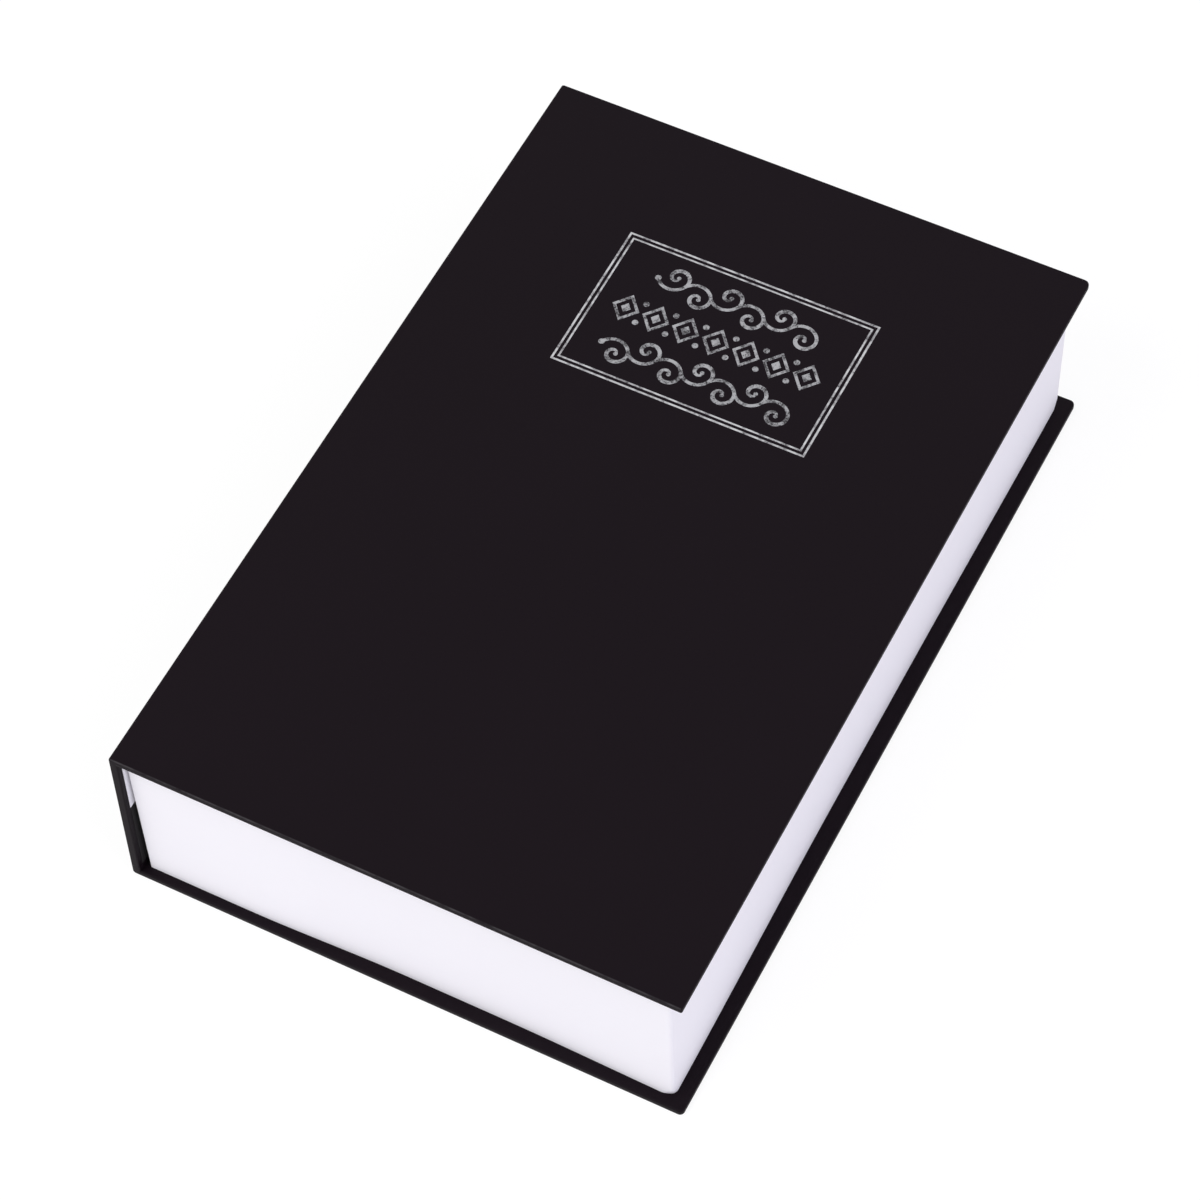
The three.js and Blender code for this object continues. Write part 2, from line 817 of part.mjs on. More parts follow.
// Front cover: board, wrap, endpaper and the two rules of the foil frame
function frontCover() {
  const group = new THREE.Group();
  const innerRuleInset = outerRuleWidth + ruleSpacing;
  const stampFloor = frontCase.outer - stampDepth;
  const stampTop = frontCase.outer + overrun;
  const wrap = coverWrap(frontCase)
    .subtract(foilRule(0, outerRuleWidth, stampFloor, stampTop))
    .subtract(foilRule(innerRuleInset, innerRuleWidth, stampFloor, stampTop));
  const foilTop = stampFloor + foilThickness;
  const outerRule = foilRule(0, outerRuleWidth, stampFloor, foilTop);
  const innerRule = foilRule(innerRuleInset, innerRuleWidth, stampFloor, foilTop);
  group.add(piece("front_board", coverBoard(frontCase), greyBoard));
  group.add(piece("front_wrap", wrap, wrapPaper));
  group.add(piece("front_endpaper", frontEndpaper(), whitePaper));
  group.add(piece("foil_outer_rule", outerRule, silverFoil));
  group.add(piece("foil_inner_rule", innerRule, silverFoil));
  return group;
}

// Spine: board, wrap, black lining, and the strip of endpaper that comes down from the front cover
function spine() {
  const group = new THREE.Group();
  const paperTop = bookHeight - foldGap / 2 - spineThickness;
  const paperBottom = foldGap / 2 + spineThickness;
  const board = spineLayer(wrapThickness, spineBoardDepth, headY - wrapThickness);
  group.add(piece("spine_board", board, greyBoard));
  group.add(piece("spine_wrap", spineWrap(), wrapPaper));
  group.add(piece("spine_lining", spinePaper(paperBottom, spinePaperFoot), blackPaper));
  group.add(piece("spine_endpaper", spinePaper(spinePaperFoot, paperTop), whitePaper));
  return group;
}

// What lies still: back cover, page block, tray, and the fixed side of the hinge
function base() {
  const group = new THREE.Group();
  group.add(piece("back_board", coverBoard(backCase), greyBoard));
  group.add(piece("back_wrap", coverWrap(backCase), wrapPaper));
  group.add(piece("back_endpaper", backEndpaper(), whitePaper));
  group.add(piece("page_block", pageBlock(), whiteMoulding));
  group.add(piece("tray", tray(), blackSteel));
  group.add(piece("hinge_leaf_fixed", fixedLeaf(), blackSteel));
  group.add(piece("hinge_pin", hingePin(), brightSteel));
  addRivets(group, "tray_rivet", hingeX - fixedRivetInset);
  return group;
}

// Lid with its side of the hinge and the lock body
function lidGroup() {
  const group = new THREE.Group();
  group.add(piece("lid", lid(), blackSteel));
  group.add(piece("hinge_leaf_moving", movingLeaf(), blackSteel));
  addRivets(group, "lid_rivet", hingeX + movingRivetInset);
  return group;
}

// Cam lock, built round its own axis and set into the lid
function camLock() {
  const group = new THREE.Group();
  group.position.set(lockX, 0, lidTop);
  group.add(piece("lock_body", lockBody(), chromedMetal));
  group.add(piece("lock_washer", lockWasher(), brightSteel));
  group.add(piece("lock_nut", lockNut(), brightSteel));
  group.add(piece("lock_plug", lockPlug(), chromedMetal));
  group.add(piece("lock_cam", lockCam(), brightSteel));
  group.add(piece("lock_cam_screw", camScrew(), brightSteel));
  return group;
}

const book = new THREE.Group();
book.add(base(), spine(), frontCover(), lidGroup(), camLock());

export default book;
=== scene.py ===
import json
import math

import bmesh
import bpy
from mathutils import Matrix, Vector


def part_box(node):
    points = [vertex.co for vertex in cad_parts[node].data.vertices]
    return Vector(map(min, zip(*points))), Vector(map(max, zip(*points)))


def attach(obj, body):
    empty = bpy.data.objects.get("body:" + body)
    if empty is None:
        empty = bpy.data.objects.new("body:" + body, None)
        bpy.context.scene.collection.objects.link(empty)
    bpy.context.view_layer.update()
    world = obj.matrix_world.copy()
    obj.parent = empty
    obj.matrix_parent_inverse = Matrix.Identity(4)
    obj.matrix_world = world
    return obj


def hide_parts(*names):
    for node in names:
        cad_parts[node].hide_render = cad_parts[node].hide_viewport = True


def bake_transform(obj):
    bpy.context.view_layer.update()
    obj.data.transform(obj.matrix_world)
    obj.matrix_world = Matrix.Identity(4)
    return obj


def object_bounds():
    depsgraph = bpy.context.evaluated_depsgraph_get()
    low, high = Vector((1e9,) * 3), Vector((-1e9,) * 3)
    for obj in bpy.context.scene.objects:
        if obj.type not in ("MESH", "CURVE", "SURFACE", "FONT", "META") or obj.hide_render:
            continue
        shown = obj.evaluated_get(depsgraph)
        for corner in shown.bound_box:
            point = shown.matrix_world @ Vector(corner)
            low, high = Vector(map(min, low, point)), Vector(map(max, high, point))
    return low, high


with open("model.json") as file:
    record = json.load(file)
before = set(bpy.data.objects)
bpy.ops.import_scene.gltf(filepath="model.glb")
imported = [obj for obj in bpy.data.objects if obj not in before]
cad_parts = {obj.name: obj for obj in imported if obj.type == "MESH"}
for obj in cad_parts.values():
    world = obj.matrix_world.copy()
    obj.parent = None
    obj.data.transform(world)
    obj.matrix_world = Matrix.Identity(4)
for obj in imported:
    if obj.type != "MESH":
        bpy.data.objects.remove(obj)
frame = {"nodes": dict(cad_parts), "record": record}
nodes = frame["nodes"]
cadBox = [list(corner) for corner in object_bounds()]
scene = bpy.context.scene
mm = 0.001
print("frame loaded with", len(nodes), "nodes")


# Shader wires: a socket that can be used in sums, so that a pattern reads as one line
class Wire:
    def __init__(self, tree, socket):
        self.tree = tree
        self.socket = socket

    def maths(self, operation, *values):
        return self.tree.node("ShaderNodeMath", {"operation": operation}, dict(enumerate(values)))

    def __add__(self, other):
        return self.maths("ADD", self, other)

    def __sub__(self, other):
        return self.maths("SUBTRACT", self, other)

    def __rsub__(self, other):
        return self.maths("SUBTRACT", other, self)

    def __mul__(self, other):
        return self.maths("MULTIPLY", self, other)

    def __abs__(self):
        return self.maths("ABSOLUTE", self)

    __radd__ = __add__

    def between(self, low, high):        # 0 below low, 1 above high, smooth in between
        settings = {"interpolation_type": "SMOOTHSTEP", "clamp": True}
        values = {"Value": self, "From Min": low, "From Max": high, "To Min": 0.0, "To Max": 1.0}
        return self.tree.node("ShaderNodeMapRange", settings, values)


# One material being wired
class Finish:
    def __init__(self, name):
        self.material = bpy.data.materials.new(name)
        self.material.use_nodes = True
        self.nodeTree = self.material.node_tree
        self.nodeTree.nodes.clear()
        self.place = self.node("ShaderNodeTexCoord", {}, {}, "Object")
        parts = self.node("ShaderNodeSeparateXYZ", {}, {"Vector": self.place}, None)
        self.x, self.y, self.z = (Wire(self, parts.outputs[axis]) for axis in "XYZ")

    # Makes a node: its settings first, then the values or links of its sockets, by name or number
    def node(self, kind, settings, values, output=0):
        made = self.nodeTree.nodes.new(kind)
        for name, value in settings.items():
            setattr(made, name, value)
        for name, value in values.items():
            if isinstance(value, Wire):
                self.nodeTree.links.new(value.socket, made.inputs[name])
            else:
                made.inputs[name].default_value = value
        return made if output is None else Wire(self, made.outputs[output])

    def stretched(self, scales):        # the place with each axis scaled
        return self.node("ShaderNodeVectorMath", {"operation": "MULTIPLY"}, {0: self.place, 1: scales})

    def noise(self, scale, detail=3.0, roughness=0.55, place=None):
        values = {"Vector": place or self.place, "Scale": scale, "Detail": detail, "Roughness": roughness}
        return self.node("ShaderNodeTexNoise", {}, values)

    def cells(self, scale, place=None):
        values = {"Vector": place or self.place, "Scale": scale}
        return self.node("ShaderNodeTexVoronoi", {"feature": "F1"}, values, "Distance")

    def mixed(self, mask, first, second):        # first where the mask is 0, second where it is 1
        colours = [value if isinstance(value, Wire) else (*value, 1) for value in (first, second)]
        return self.node("ShaderNodeMix", {"data_type": "RGBA"}, {0: mask, 6: colours[0], 7: colours[1]}, 2)

    def bump(self, height, distance, strength=1.0, under=None):
        values = {"Height": height, "Distance": distance, "Strength": strength}
        if under:
            values["Normal"] = under
        return self.node("ShaderNodeBump", {}, values)

    def shade(self, values):        # the surface from its socket values, and the finished material
        surface = self.node("ShaderNodeBsdfPrincipled", {}, values)
        self.node("ShaderNodeOutputMaterial", {}, {"Surface": surface}, None)
        return self.material


# Leather-like paper: fine pebbles that catch the light, soft clouding, and a painted highlight along the tail
# and head edges
def wrapPaper():
    look = {
        "deep": (0.0054, 0.0028, 0.0048),
        "pale": (0.0082, 0.0048, 0.0074),
        # the paler colour of the painted highlight along the edges
        "wearAndHighlight": (0.056, 0.052, 0.055),
        "pebble": 1500.0,        # pebbles to a metre
        "speck": 2600.0,
        "cloud": 14.0,
        "wave": 22.0,
        "depth": 0.04 * mm,
        "waveDepth": 0.4 * mm,
        "pull": 0.4 * mm,        # how far the pebbles are pulled out of their pattern
        "highlightBand": (0.42 * mm, 0.27 * mm),        # where the painted highlight line fades in, measured from the sharp edge
    }
    finish = Finish("wrapPaper")
    warp = finish.noise(900.0, 2.0)
    bent = finish.node("ShaderNodeVectorMath", {"operation": "MULTIPLY_ADD"},
                       {0: finish.node("ShaderNodeCombineXYZ", {}, {"X": warp, "Y": warp, "Z": warp}),
                        1: [look["pull"]] * 3, 2: finish.place})
    pebbles = finish.cells(look["pebble"], place=bent)
    clouds = finish.noise(look["cloud"], 4.0)
    specks = finish.noise(look["speck"], 2.0).between(0.55, 0.75)
    plain = finish.mixed(clouds * 0.7 + specks * 0.3, look["deep"], look["pale"])
    endY, top = cadBox[1][1:]
    # painted highlight: a paler thin line along the edges at the tail and the head, on the middle of their
    # rounding, broken up by noise
    topHighlight = (abs(finish.y) + finish.z).between(*(endY + top - inset for inset in look["highlightBand"]))
    footHighlight = (abs(finish.y) - finish.z).between(*(endY - inset for inset in look["highlightBand"]))
    paintedHighlight = (topHighlight + footHighlight * 0.5) * finish.noise(160.0, 4.0, 0.6).between(0.25, 0.75)
    height = pebbles * 0.7 + finish.noise(3800.0, 2.0) * 0.3
    waves = finish.bump(finish.noise(look["wave"], 2.0), look["waveDepth"], 0.25)
    return finish.shade({
        # the painted highlight is mixed into the colour here
        "Base Color": finish.mixed(paintedHighlight, plain, look["wearAndHighlight"]),
        "Roughness": 0.46 + clouds * 0.14 + specks * 0.06,
        "Specular IOR Level": 0.07,
        "Normal": finish.bump(height, look["depth"], 0.45, under=waves),
    })


# White moulding of the page block: a satin plastic with faint leaves cut round its sides
def pageMoulding():
    look = {
        "white": (0.925, 0.905, 0.95),
        "shade": (0.87, 0.852, 0.9),
        "leaf": 0.45 * mm,        # height of one leaf
        "drift": 0.2 * mm,        # how far the leaves stray from level
        "depth": 0.03 * mm,
    }
    finish = Finish("pageMoulding")
    drift = finish.noise(60.0, 2.0, place=finish.stretched((1.0, 1.0, 12.0)))
    turns = (finish.z + drift * look["drift"]) * (math.tau / look["leaf"])
    leaves = finish.node("ShaderNodeMath", {"operation": "SINE"}, {0: turns}) * 0.5 + 0.5
    uneven = finish.noise(350.0, 3.0, place=finish.stretched((0.35, 0.35, 4.0)))
    clouds = finish.noise(18.0, 3.0)
    colour = finish.mixed(leaves * uneven * 0.35 + clouds * 0.25, look["white"], look["shade"])
    height = leaves * 0.5 + uneven * 0.5
    return finish.shade({
        "Base Color": colour,
        "Roughness": 0.5 + uneven * 0.15,
        "Specular IOR Level": 0.4,
        "Normal": finish.bump(height, look["depth"], 0.3),
    })


# White endpaper: short fibres and a soft mottle
def endpaper():
    look = {"white": (0.91, 0.9, 0.935), "shade": (0.84, 0.832, 0.87), "fibre": 1400.0, "depth": 0.04 * mm}
    finish = Finish("endpaper")
    fibres = finish.noise(look["fibre"], 4.0, 0.7, place=finish.stretched((1.0, 0.35, 1.0)))
    clouds = finish.noise(35.0, 3.0)
    colour = finish.mixed(fibres * 0.3 + clouds * 0.3, look["white"], look["shade"])
    return finish.shade({
        "Base Color": colour,
        "Roughness": 0.8 + fibres * 0.12,
        "Specular IOR Level": 0.3,
        "Normal": finish.bump(fibres, look["depth"], 0.4),
    })


# Grey board: coarse pulp with darker flecks
def pulpBoard():
    look = {
        "grey": (0.27, 0.24, 0.2),
        "dark": (0.13, 0.115, 0.1),
        "pulp": 500.0,
        "fleck": 900.0,
        "depth": 0.1 * mm,
    }
    finish = Finish("pulpBoard")
    pulp = finish.noise(look["pulp"], 5.0, 0.7)
    flecks = finish.cells(look["fleck"]).between(0.02, 0.2)
    colour = finish.mixed((1 - flecks) * 0.6 + pulp * 0.4, look["grey"], look["dark"])
    return finish.shade({
        "Base Color": colour,
        "Roughness": 0.86 + pulp * 0.1,
        "Normal": finish.bump(pulp, look["depth"], 0.5),
    })


# Black lining paper
def liningPaper():
    look = {"deep": (0.009, 0.008, 0.009), "pale": (0.017, 0.015, 0.016), "fibre": 1200.0, "depth": 0.05 * mm}
    finish = Finish("liningPaper")
    fibres = finish.noise(look["fibre"], 4.0, 0.7, place=finish.stretched((1.0, 0.4, 1.0)))
    clouds = finish.noise(30.0, 3.0)
    return finish.shade({
        "Base Color": finish.mixed(fibres * 0.5 + clouds * 0.5, look["deep"], look["pale"]),
        "Roughness": 0.8 + fibres * 0.12,
        "Specular IOR Level": 0.25,
        "Normal": finish.bump(fibres, look["depth"], 0.4),
    })


# Silver foil pressed into the grain, and missing where the grain is above the look's worn value
foilGrain = {"fine": 2600.0, "patch": 420.0, "softness": 0.06, "depth": 0.04 * mm}


def stampedFoil(name, look):
    finish = Finish(name)
    grain = finish.noise(foilGrain["fine"], 3.0, 0.6)
    patches = finish.noise(foilGrain["patch"], 3.0, 0.6)
    soft = foilGrain["softness"]
    missing = (grain * 0.6 + patches * 0.4).between(look["wearAndHighlight"] - soft, look["wearAndHighlight"] + soft)
    silver = finish.mixed(patches.between(0.35, 0.7), look["bright"], look["dull"])
    return finish.shade({
        "Base Color": finish.mixed(missing, silver, look["bare"]),
        "Metallic": 1 - missing,
        "Roughness": 0.38 + grain * 0.25,
        "Normal": finish.bump(grain, foilGrain["depth"], 0.4),
    })


ruleFoil = {
    "bright": (0.6, 0.6, 0.62),
    "dull": (0.3, 0.29, 0.31),
    "bare": (0.012, 0.01, 0.012),
    "wearAndHighlight": 0.6,
}
ornamentFoil = {
    "bright": (0.42, 0.42, 0.44),
    "dull": (0.2, 0.195, 0.21),
    "bare": (0.01, 0.008, 0.01),
    "wearAndHighlight": 0.54,
}


# Powder-coated sheet steel: a fine orange peel
def powderCoat():
    look = {
        "deep": (0.010, 0.010, 0.0115),
        "pale": (0.018, 0.018, 0.02),
        "peel": 750.0,
        "speck": 2400.0,
        "depth": 0.08 * mm,
    }
    finish = Finish("powderCoat")
    peel = finish.noise(look["peel"], 2.0, 0.5)
    specks = finish.cells(look["speck"]).between(0.05, 0.25)
    clouds = finish.noise(25.0, 3.0)
    return finish.shade({
        "Base Color": finish.mixed(clouds * 0.6 + (1 - specks) * 0.4, look["deep"], look["pale"]),
        "Roughness": 0.36 + clouds * 0.1 + (1 - specks) * 0.08,
        "Specular IOR Level": 0.45,
        "Normal": finish.bump(peel, look["depth"], 0.5),
    })


# Zinc-plated steel: fine drawn lines and a cloudy plating
def zincSteel():
    look = {"bright": (0.62, 0.63, 0.65), "dull": (0.42, 0.43, 0.45), "line": 260.0, "depth": 0.03 * mm}
    finish = Finish("zincSteel")
    lines = finish.noise(look["line"], 3.0, 0.6, place=finish.stretched((14.0, 1.0, 14.0)))
    clouds = finish.noise(160.0, 3.0)
    return finish.shade({
        "Base Color": finish.mixed(lines * 0.4 + clouds * 0.6, look["bright"], look["dull"]),
        "Metallic": 1.0,
        "Roughness": 0.26 + lines * 0.16 + clouds * 0.1,
        "Normal": finish.bump(lines, look["depth"], 0.3),
    })


# Chrome of the lock: bright, with faint turning marks and smears
def lockChrome():
    look = {
        "bright": (0.78, 0.79, 0.81),
        "smeared": (0.6, 0.61, 0.63),
        "smear": 220.0,
        "mark": 3000.0,
        "depth": 0.01 * mm,
    }
    finish = Finish("lockChrome")
    smears = finish.noise(look["smear"], 3.0, 0.6)
    marks = finish.noise(look["mark"], 2.0)
    return finish.shade({
        "Base Color": finish.mixed(smears.between(0.4, 0.75), look["bright"], look["smeared"]),
        "Metallic": 1.0,
        "Roughness": 0.1 + smears * 0.14 + marks * 0.05,
        "Normal": finish.bump(marks, look["depth"], 0.15),
    })


finishes = {
    "cover_wrap": wrapPaper(),
    "greyboard": pulpBoard(),
    "endpaper": endpaper(),
    "black_lining": liningPaper(),
    "silver_foil": stampedFoil("ruleFoil", ruleFoil),
    "page_moulding": pageMoulding(),
    "black_steel": powderCoat(),
    "bright_steel": zincSteel(),
    "lock_chrome": lockChrome(),
}
for part in frame["record"]["subparts"]:
    for materialSlot in nodes[part["node"]].material_slots:
        materialSlot.material = finishes[part["material_slot"]]
print("finishes made:", len(finishes))


near = 0.01 * mm        # places closer than this count as one
mergeDistance = 0.001 * mm
smoothBelow = math.radians(32)        # a steeper edge looks sharp
squareAbove = 1.0        # radians; a steeper edge is rounded by a bevel


def at(value, target):
    return abs(value - target) < near


# Whether some vertices all lie in one of some planes, each given by its axis and its place
def inPlanes(verts, planes):
    return any(all(at(getattr(vert.co, axis), value) for vert in verts) for axis, value in planes)


# Turns a finished mesh into a piece of the object
def makePiece(name, bm, slotName, body=None, standsFor=()):
    bmesh.ops.remove_doubles(bm, verts=bm.verts, dist=mergeDistance)
    bmesh.ops.recalc_face_normals(bm, faces=bm.faces)
    mesh = bpy.data.meshes.new(name)
    bm.to_mesh(mesh)
    bm.free()
    mesh.shade_smooth()
    mesh.set_sharp_from_angle(angle=smoothBelow)
    made = bpy.data.objects.new(name, mesh)
    scene.collection.objects.link(made)
    mesh.materials.append(finishes[slotName])
    if body:
        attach(made, body)
    if standsFor:
        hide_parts(*standsFor)
    return made


# Keeps a flat face flat in the light beside a rounded edge
def shadeByArea(made):
    shading = made.modifiers.new("shading", "WEIGHTED_NORMAL")
    shading.mode = "FACE_AREA"
    shading.weight = 100
    shading.keep_sharp = True


# A box between two corners
def boxMesh(bm, low, high):
    low, high = Vector(low), Vector(high)
    made = bmesh.ops.create_cube(bm, size=1.0)["verts"]
    bmesh.ops.scale(bm, vec=high - low, verts=made)
    bmesh.ops.translate(bm, vec=(low + high) / 2, verts=made)


def bevelEdges(bm, edges, radius, segments):
    bmesh.ops.bevel(bm, geom=edges, offset=radius, offset_type="OFFSET", segments=segments,
                    profile=0.5, affect="EDGES", clamp_overlap=True, material=-1)


# Extrudes faces and moves what they become; the faces themselves stay behind only where keep says so
def pushFaces(bm, geometry, offset, keep=False):
    pushed = bmesh.ops.extrude_face_region(bm, geom=geometry, use_keep_orig=keep)["geom"]
    moved = [element for element in pushed if isinstance(element, bmesh.types.BMVert)]
    bmesh.ops.translate(bm, vec=offset, verts=moved)


# Places round a rectangle with round corners, whose radius is given for the low and the high side of X.
# Each corner is cut into so many segments, and each side into so many along it.
def roundedPlaces(low, high, inset, radii, segments, along):
    corners = [(high.x, high.y, -1, -1), (low.x, high.y, 1, -1), (low.x, low.y, 1, 1), (high.x, low.y, -1, 1)]
    arcs = []
    for quarter, (cornerX, cornerY, towardsX, towardsY) in enumerate(corners):
        radius = radii[0] if towardsX > 0 else radii[1]
        middle = Vector((cornerX + towardsX * (inset + radius), cornerY + towardsY * (inset + radius)))
        turns = [(quarter + i / segments) * math.pi / 2 for i in range(segments + 1)]
        arcs.append([middle + Vector((math.cos(turn), math.sin(turn))) * radius for turn in turns])
    places = []
    for arc, following in zip(arcs, arcs[1:] + arcs[:1]):
        places += arc
        places += [arc[-1].lerp(following[0], i / along) for i in range(1, along)]
    return places


# Goes smoothly from 0 at low to 1 at high
def ease(value, low, high):
    share = min(max((value - low) / (high - low), 0.0), 1.0)
    return share * share * (3 - 2 * share)


# A skin through rings of vertices, each joined to the next and, where it is closed, the last to the first
def joinRings(bm, rings, closed=True):
    loops = [[bm.verts.new(place) for place in ring] for ring in rings]
    following = loops[1:] + loops[:1] if closed else loops[1:]
    for first, second in zip(loops, following):
        for i in range(len(first)):
            j = (i + 1) % len(first)
            bm.faces.new((first[i], first[j], second[j], second[i]))
    return loops


# Case: sizes of its wrap and folds
case = {
    "spineX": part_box("spine_wrap")[0].x,
    "foreEdgeX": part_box("front_wrap")[1].x,
    "endY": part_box("front_wrap")[1].y,
    "top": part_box("front_wrap")[1].z,
    "frontInner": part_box("front_wrap")[0].z,
    "backInner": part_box("back_wrap")[1].z,
    "spineInner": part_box("spine_wrap")[1].x,
    "foldReach": 1.6 * mm,        # how far a fold piece runs past the inner corner
    "topBend": (-0.6 * mm, 1.8 * mm),        # where the bend starts and ends, measured from the mitre
    "footBend": (-1.6 * mm, 1.6 * mm),
    "foldRadius": 0.7 * mm,
    "frontCorners": (0.5 * mm, 1.6 * mm),        # at the tail and at the head
    "backCorners": (1.3 * mm, 1.5 * mm),
    "edgeRadius": 0.45 * mm,
    "cornerSegments": 8,
    "edgeSegments": 4,
    "foldSegments": 5,
    "bendSlices": 14,
    "turnIn": 15 * mm,
    "wrapThickness": 0.25 * mm,
}
foldLeg = case["foldReach"] + case["spineInner"] - case["spineX"]        # length of each leg of a fold piece
windowX = case["foreEdgeX"] - case["turnIn"]
windowY = case["endY"] - case["turnIn"]


# Cuts edges into every face that a plane crosses, or only into the given faces
def cutAt(bm, axis, value, faces=None):
    normal = [0, 0, 0]
    normal["xyz".index(axis)] = 1
    chosen = bm.faces if faces is None else faces
    geometry = {element for face in chosen for element in (face, *face.edges, *face.verts)}
    place = [value * part for part in normal]
    bmesh.ops.bisect_plane(bm, geom=list(geometry), dist=near, plane_co=place, plane_no=normal)


# A slab of wrap with rounded corners and edges, but not where it runs on into a fold
def wrapSlab(low, high, foldPlanes, corners=None):
    bm = bmesh.new()
    boxMesh(bm, low, high)
    for y, radius in zip((low[1], high[1]), corners or ()):
        corner = [edge for edge in bm.edges
                  if all(at(vert.co.x, high[0]) and at(vert.co.y, y) for vert in edge.verts)]
        bevelEdges(bm, corner, radius, case["cornerSegments"])
    thin = "x" if high[0] - low[0] < high[2] - low[2] else "z"
    rim = [edge for edge in bm.edges
           if at(getattr(edge.verts[0].co, thin), getattr(edge.verts[1].co, thin))
           and not inPlanes(edge.verts, foldPlanes)
           and edge.calc_face_angle() > squareAbove]
    if corners is None:        # the spine is rounded at its two ends only
        rim = [edge for edge in rim if at(edge.verts[0].co.y, edge.verts[1].co.y)]
    bevelEdges(bm, rim, case["edgeRadius"], case["edgeSegments"])
    return bm


# Opens a slab where it runs on into a fold, and in the window between its turn-ins
def openWrap(bm, isWindow, foldPlanes):
    cutAt(bm, "y", windowY)
    cutAt(bm, "y", -windowY)
    opened = [face for face in bm.faces
              if isWindow(face.calc_center_median()) or inPlanes(face.verts, foldPlanes)]
    bmesh.ops.delete(bm, geom=opened, context="FACES")
    bmesh.ops.recalc_face_normals(bm, faces=bm.faces)


# Gives an open skin the thickness of the wrap, on its inner side
def giveThickness(made):
    wall = made.modifiers.new("wall", "SOLIDIFY")
    wall.thickness = case["wrapThickness"]
    wall.offset = -1
    shadeByArea(made)


# Wrap of one cover, between its outer and its inner face
def coverWrap(outerZ, innerZ, corners):
    foldPlanes = [("x", case["spineX"] + foldLeg)]
    low = (case["spineX"] + foldLeg, -case["endY"], min(outerZ, innerZ))
    high = (case["foreEdgeX"], case["endY"], max(outerZ, innerZ))
    bm = wrapSlab(low, high, foldPlanes, corners)
    cutAt(bm, "x", windowX)
    openWrap(bm, lambda co: at(co.z, innerZ) and co.x < windowX and abs(co.y) < windowY, foldPlanes)
    return bm


# Foil frame: where its two rules lie, and the groove that each is stamped into
foil = {
    "outerRule": 0.6 * mm,
    "spacing": 0.8 * mm,
    "innerRule": 0.55 * mm,
    "stampDepth": 0.1 * mm,
}
frameLow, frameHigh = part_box("foil_outer_rule")
innerInset = foil["outerRule"] + foil["spacing"]
ruleRings = [(0.0, foil["outerRule"]), (innerInset, innerInset + foil["innerRule"])]


# How far a face's middle lies inside the frame
def depthInside(face):
    middle = face.calc_center_median()
    return min(middle.x - frameLow.x, frameHigh.x - middle.x, middle.y - frameLow.y, frameHigh.y - middle.y)


# Presses the two rules into the cover. Only the frame's outline is cut right across it.
def stampFrame(bm):
    topPlane = [("z", case["top"])]
    for inset in [inset for ring in ruleRings for inset in ring]:
        for axis, low, high in (("x", frameLow.x, frameHigh.x), ("y", frameLow.y, frameHigh.y)):
            for value in (low + inset, high - inset):
                upper = [face for face in bm.faces
                         if inPlanes(face.verts, topPlane) and (inset == 0 or depthInside(face) > 0)]
                cutAt(bm, axis, value, upper)
    stamped = [face for face in bm.faces if at(face.calc_center_median().z, case["top"])
               and any(low < depthInside(face) < high for low, high in ruleRings)]
    rims = {edge for face in stamped for edge in face.edges}
    pushFaces(bm, stamped + list(rims), (0, 0, -foil["stampDepth"]))


frontMesh = coverWrap(case["top"], case["frontInner"], case["frontCorners"])
stampFrame(frontMesh)
giveThickness(makePiece("frontSkin", frontMesh, "cover_wrap", "front_cover", ["front_wrap"]))
backMesh = coverWrap(0.0, case["backInner"], case["backCorners"])
giveThickness(makePiece("backSkin", backMesh, "cover_wrap", "base", ["back_wrap"]))


# Wrap of the spine, between its two folds
def spineWrap():
    foldPlanes = [("z", foldLeg), ("z", case["top"] - foldLeg)]
    low = (case["spineX"], -case["endY"], foldPlanes[0][1])
    high = (case["spineInner"], case["endY"], foldPlanes[1][1])
    bm = wrapSlab(low, high, foldPlanes)
    openWrap(bm, lambda co: at(co.x, case["spineInner"]) and abs(co.y) < windowY, foldPlanes)
    return bm


giveThickness(makePiece("spineSkin", spineWrap(), "cover_wrap", "spine", ["spine_wrap"]))
print("cover wraps made")


# A bar along the book from an outline drawn in X and Z
def barMesh(outline, endY):
    bm = bmesh.new()
    face = bm.faces.new([bm.verts.new((x, -endY, z)) for x, z in outline])
    pushFaces(bm, [face], (0, 2 * endY, 0), keep=True)
    bmesh.ops.recalc_face_normals(bm, faces=bm.faces)
    return bm


# Cuts across a fold, parallel to its mitre, so that it can bend
def sliceFold(bm, cornerZ, inwards, bend):
    normal = Vector((1, 0, -inwards)).normalized()
    slices = case["bendSlices"]
    for i in range(slices + 1):
        place = Vector((case["spineX"] + bend[0] + (bend[1] - bend[0]) * i / slices, 0, cornerZ))
        everything = list(bm.verts) + list(bm.edges) + list(bm.faces)
        bmesh.ops.bisect_plane(bm, geom=everything, dist=near, plane_co=place, plane_no=normal)


# Works out where a piece's bend between two bodies ends, and bakes its place into its mesh. The base lies on
# the far side of its fold, so its ends change places.
def bendBetween(made, first, second, cornerZ, inwards, bend):
    ends = [(case["spineX"] + share / 2, 0, cornerZ - inwards * share / 2) for share in bend]
    if first == "base":
        ends.reverse()
    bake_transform(made)


# Outline of a fold piece: an L with a rounded outer corner, drawn in by an inset except at its legs' ends
def foldOutline(cornerZ, coverInner, spineInner, inwards, inset):
    legX, legZ = case["spineX"] + foldLeg, cornerZ + inwards * foldLeg
    outerX, outerZ = case["spineX"] + inset, cornerZ + inwards * inset
    radius, segments = case["foldRadius"], case["foldSegments"]
    bend = [(outerX + radius * (1 - math.cos(turn)), outerZ + inwards * radius * (1 - math.sin(turn)))
            for turn in (math.pi / 2 * i / segments for i in range(segments + 1))]
    innerX, innerZ = spineInner - inset, coverInner - inwards * inset
    return [*bend, (legX, outerZ), (legX, innerZ), (innerX, innerZ), (innerX, legZ), (outerX, legZ)]


